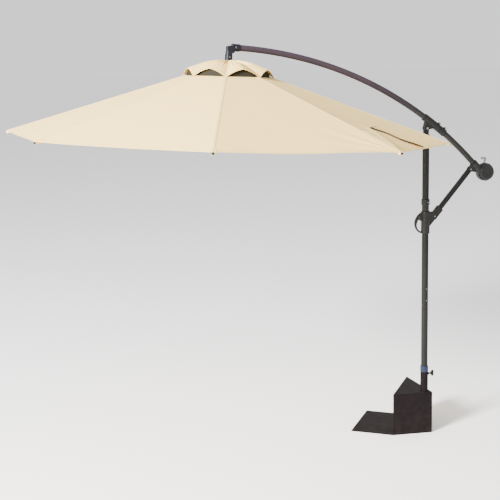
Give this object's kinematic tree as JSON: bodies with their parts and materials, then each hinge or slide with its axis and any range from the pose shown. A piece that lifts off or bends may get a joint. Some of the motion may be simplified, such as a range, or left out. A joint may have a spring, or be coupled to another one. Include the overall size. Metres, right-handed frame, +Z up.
{
  "type": "cantilever parasol",
  "caption": "Octagonal cream canopy hung from a curved side arm on a swivelling mast, with crank, squeeze-grip lift collar and weighted box base.",
  "frame": {"origin": "where the mast's axis meets the ground, on the underside of the floor plate", "axes": "+Z up; the arm lies in the XZ plane and carries the canopy towards -X, with the crank at +X"},
  "size_m": [3.1569, 2.513, 2.6456],
  "materials": {
    "base_paint": "dark brown powder coat",
    "ballast_iron": "raw casting",
    "bush_plastic": "moulded, satin",
    "hub_plastic": "moulded, satin",
    "mast_paint": "bronze-grey powder coat",
    "casting_paint": "bronze-grey powder coat",
    "bolt_steel": "zinc plated",
    "arm_paint": "bronze-grey powder coat",
    "fitting_plastic": "moulded, fine grain",
    "pulley_plastic": "moulded nylon",
    "crank_metal": "satin",
    "crank_plastic": "moulded, satin",
    "cord": "braided polyester",
    "vent_mesh": "open net",
    "rib_paint": "bronze-grey powder coat",
    "canopy_fabric": "plain-woven cream polyester"
  },
  "bodies": {
    "base": {"floor_plate": "base_paint", "ballast_box": "base_paint", "ballast_block": "ballast_iron", "socket_tube": "base_paint", "socket_liner": "bush_plastic"},
    "wing_screw": {"wing_screw": "hub_plastic"},
    "mast": {"mast_lower_tube": "mast_paint", "mast_upper_tube": "mast_paint", "mast_spigot": "mast_paint", "mast_head": "casting_paint", "arm_pivot_bolt": "bolt_steel"},
    "collar": {"collar_body": "fitting_plastic", "collar_liner": "bush_plastic", "strut_foot_pin": "bolt_steel", "lever_pin": "bolt_steel"},
    "grip_lever": {"grip_lever": "fitting_plastic"},
    "lock_pin": {"lock_pin": "bolt_steel"},
    "arm": {"arm_tube": "arm_paint", "arm_clamp": "casting_paint", "arm_clamp_rear": "casting_paint", "clamp_bolts": "bolt_steel", "crank_housing": "fitting_plastic", "housing_cover": "fitting_plastic", "strut_top_pin": "bolt_steel", "hub_elbow": "hub_plastic", "top_hub": "hub_plastic", "rib_pins": "bolt_steel", "lift_cord": "cord", "vent_net": "vent_mesh"},
    "strut": {"strut_bar": "mast_paint", "strut_boot": "fitting_plastic"},
    "winch": {"winch_drum": "pulley_plastic", "crank_arm": "crank_metal"},
    "crank_grip": {"crank_grip": "crank_plastic"},
    "pulley": {"elbow_pulley": "pulley_plastic"},
    "runner": {"runner": "hub_plastic"},
    "rib_1": {"rib_1": "rib_paint", "gore_1": "canopy_fabric"},
    "stretcher_1": {"stretcher_1": "rib_paint"},
    "rib_2": {"rib_2": "rib_paint", "gore_2": "canopy_fabric"},
    "stretcher_2": {"stretcher_2": "rib_paint"},
    "rib_3": {"rib_3": "rib_paint", "gore_3": "canopy_fabric"},
    "stretcher_3": {"stretcher_3": "rib_paint"},
    "rib_4": {"rib_4": "rib_paint", "gore_4": "canopy_fabric"},
    "stretcher_4": {"stretcher_4": "rib_paint"},
    "rib_5": {"rib_5": "rib_paint", "gore_5": "canopy_fabric"},
    "stretcher_5": {"stretcher_5": "rib_paint"},
    "rib_6": {"rib_6": "rib_paint", "gore_6": "canopy_fabric"},
    "stretcher_6": {"stretcher_6": "rib_paint"},
    "rib_7": {"rib_7": "rib_paint", "gore_7": "canopy_fabric"},
    "stretcher_7": {"stretcher_7": "rib_paint"},
    "rib_8": {"rib_8": "rib_paint", "gore_8": "canopy_fabric"},
    "stretcher_8": {"stretcher_8": "rib_paint"}
  },
  "joints": [
    {"name": "clamp_screw_turn", "type": "hinge", "parent": "base", "child": "wing_screw", "pos_m": [0.0325, 0, 0.41], "axis": [1, 0, 0], "continuous": true},
    {"name": "mast_swivel", "type": "hinge", "parent": "base", "child": "mast", "pos_m": [0, 0, 0.43], "axis": [0, 0, 1], "continuous": true},
    {"name": "arm_lift", "type": "hinge", "parent": "mast", "child": "arm", "pos_m": [0, 0, 2.079], "axis": [0, -1, 0], "range_deg": [0, 30]},
    {"name": "collar_slide", "type": "slide", "parent": "mast", "child": "collar", "axis": [0, 0, 1], "range_m": [0, 0.3485]},
    {"name": "strut_hinge", "type": "hinge", "parent": "arm", "child": "strut", "pos_m": [0.338, 0, 1.79104], "axis": [0, -1, 0], "range_deg": [-55.8, 0]},
    {"name": "grip_squeeze", "type": "hinge", "parent": "collar", "child": "grip_lever", "pos_m": [-0.054, 0, 1.493], "axis": [0, -1, 0], "range_deg": [0, 3], "stiffness_Nm_per_rad": 60, "springref_deg": -1.72},
    {"name": "lock_pin_slide", "type": "slide", "parent": "collar", "child": "lock_pin", "axis": [-1, 0, 0], "range_m": [0, 0.002]},
    {"name": "runner_slide", "type": "slide", "parent": "arm", "child": "runner", "axis": [-0.0523, 0, -0.9986], "range_m": [0, 0.88059], "deforming": ["lift_cord", "vent_net"]},
    {"name": "winch_turn", "type": "hinge", "parent": "arm", "child": "winch", "pos_m": [0.458, 0, 1.76601], "axis": [0, 1, 0], "range_deg": [0, 2088.8]},
    {"name": "grip_spin", "type": "hinge", "parent": "winch", "child": "crank_grip", "pos_m": [0.48581, 0.0612, 1.8516], "axis": [0, 1, 0], "continuous": true},
    {"name": "pulley_turn", "type": "hinge", "parent": "arm", "child": "pulley", "pos_m": [-1.34251, 0, 2.60706], "axis": [0, -1, 0], "range_deg": [0, 3603.9]},
    {"name": "rib_hinge_1", "type": "hinge", "parent": "arm", "child": "rib_1", "pos_m": [-1.33179, 0.01225, 2.51421], "axis": [-0.3822, 0.9239, 0.02], "range_deg": [0, 65.57], "deforming": ["gore_1"]},
    {"name": "stretcher_hinge_1", "type": "hinge", "parent": "rib_1", "child": "stretcher_1", "pos_m": [-0.78798, 0.24255, 2.26688], "axis": [-0.3822, 0.9239, 0.02], "range_deg": [-136.59, 0]},
    {"name": "rib_hinge_2", "type": "hinge", "parent": "arm", "child": "rib_2", "pos_m": [-1.34909, 0.02956, 2.51512], "axis": [-0.9226, 0.3827, 0.0484], "range_deg": [0, 65.57], "deforming": ["gore_2"]},
    {"name": "stretcher_hinge_2", "type": "hinge", "parent": "rib_2", "child": "stretcher_2", "pos_m": [-1.13053, 0.58558, 2.28484], "axis": [-0.9226, 0.3827, 0.0484], "range_deg": [-136.59, 0]},
    {"name": "rib_hinge_3", "type": "hinge", "parent": "arm", "child": "rib_3", "pos_m": [-1.37355, 0.02956, 2.5164], "axis": [-0.9226, -0.3827, 0.0484], "range_deg": [0, 65.57], "deforming": ["gore_3"]},
    {"name": "stretcher_hinge_3", "type": "hinge", "parent": "rib_3", "child": "stretcher_3", "pos_m": [-1.61498, 0.58558, 2.31023], "axis": [-0.9226, -0.3827, 0.0484], "range_deg": [-136.59, 0]},
    {"name": "rib_hinge_4", "type": "hinge", "parent": "arm", "child": "rib_4", "pos_m": [-1.39084, 0.01225, 2.51731], "axis": [-0.3822, -0.9239, 0.02], "range_deg": [0, 65.57], "deforming": ["gore_4"]},
    {"name": "stretcher_hinge_4", "type": "hinge", "parent": "rib_4", "child": "stretcher_4", "pos_m": [-1.95753, 0.24255, 2.32818], "axis": [-0.3822, -0.9239, 0.02], "range_deg": [-136.59, 0]},
    {"name": "rib_hinge_5", "type": "hinge", "parent": "arm", "child": "rib_5", "pos_m": [-1.39084, -0.01225, 2.51731], "axis": [0.3822, -0.9239, -0.02], "range_deg": [0, 65.57], "deforming": ["gore_5"]},
    {"name": "stretcher_hinge_5", "type": "hinge", "parent": "rib_5", "child": "stretcher_5", "pos_m": [-1.95753, -0.24255, 2.32818], "axis": [0.3822, -0.9239, -0.02], "range_deg": [-136.59, 0]},
    {"name": "rib_hinge_6", "type": "hinge", "parent": "arm", "child": "rib_6", "pos_m": [-1.37355, -0.02956, 2.5164], "axis": [0.9226, -0.3827, -0.0484], "range_deg": [0, 65.57], "deforming": ["gore_6"]},
    {"name": "stretcher_hinge_6", "type": "hinge", "parent": "rib_6", "child": "stretcher_6", "pos_m": [-1.61498, -0.58558, 2.31023], "axis": [0.9226, -0.3827, -0.0484], "range_deg": [-136.59, 0]},
    {"name": "rib_hinge_7", "type": "hinge", "parent": "arm", "child": "rib_7", "pos_m": [-1.34909, -0.02956, 2.51512], "axis": [0.9226, 0.3827, -0.0484], "range_deg": [0, 65.57], "deforming": ["gore_7"]},
    {"name": "stretcher_hinge_7", "type": "hinge", "parent": "rib_7", "child": "stretcher_7", "pos_m": [-1.13053, -0.58558, 2.28484], "axis": [0.9226, 0.3827, -0.0484], "range_deg": [-136.59, 0]},
    {"name": "rib_hinge_8", "type": "hinge", "parent": "arm", "child": "rib_8", "pos_m": [-1.33179, -0.01225, 2.51421], "axis": [0.3822, 0.9239, -0.02], "range_deg": [0, 65.57], "deforming": ["gore_8"]},
    {"name": "stretcher_hinge_8", "type": "hinge", "parent": "rib_8", "child": "stretcher_8", "pos_m": [-0.78798, -0.24255, 2.26688], "axis": [0.3822, 0.9239, -0.02], "range_deg": [-136.59, 0]}
  ],
  "couplings": [
    {"joint": "collar_slide", "follows": "arm_lift", "m_per_rad": 0.66559},
    {"joint": "strut_hinge", "follows": "arm_lift", "ratio": -1.86},
    {"joint": "lock_pin_slide", "follows": "grip_squeeze", "m_per_rad": 0.038193},
    {"joint": "winch_turn", "follows": "runner_slide", "rad_per_m": 41.399},
    {"joint": "pulley_turn", "follows": "runner_slide", "rad_per_m": 71.429},
    {"joint": "rib_hinge_1", "follows": "runner_slide", "rad_per_m": 1.2995},
    {"joint": "stretcher_hinge_1", "follows": "runner_slide", "rad_per_m": -2.707},
    {"joint": "rib_hinge_2", "follows": "runner_slide", "rad_per_m": 1.2995},
    {"joint": "stretcher_hinge_2", "follows": "runner_slide", "rad_per_m": -2.707},
    {"joint": "rib_hinge_3", "follows": "runner_slide", "rad_per_m": 1.2995},
    {"joint": "stretcher_hinge_3", "follows": "runner_slide", "rad_per_m": -2.707},
    {"joint": "rib_hinge_4", "follows": "runner_slide", "rad_per_m": 1.2995},
    {"joint": "stretcher_hinge_4", "follows": "runner_slide", "rad_per_m": -2.707},
    {"joint": "rib_hinge_5", "follows": "runner_slide", "rad_per_m": 1.2995},
    {"joint": "stretcher_hinge_5", "follows": "runner_slide", "rad_per_m": -2.707},
    {"joint": "rib_hinge_6", "follows": "runner_slide", "rad_per_m": 1.2995},
    {"joint": "stretcher_hinge_6", "follows": "runner_slide", "rad_per_m": -2.707},
    {"joint": "rib_hinge_7", "follows": "runner_slide", "rad_per_m": 1.2995},
    {"joint": "stretcher_hinge_7", "follows": "runner_slide", "rad_per_m": -2.707},
    {"joint": "rib_hinge_8", "follows": "runner_slide", "rad_per_m": 1.2995},
    {"joint": "stretcher_hinge_8", "follows": "runner_slide", "rad_per_m": -2.707}
  ]
}
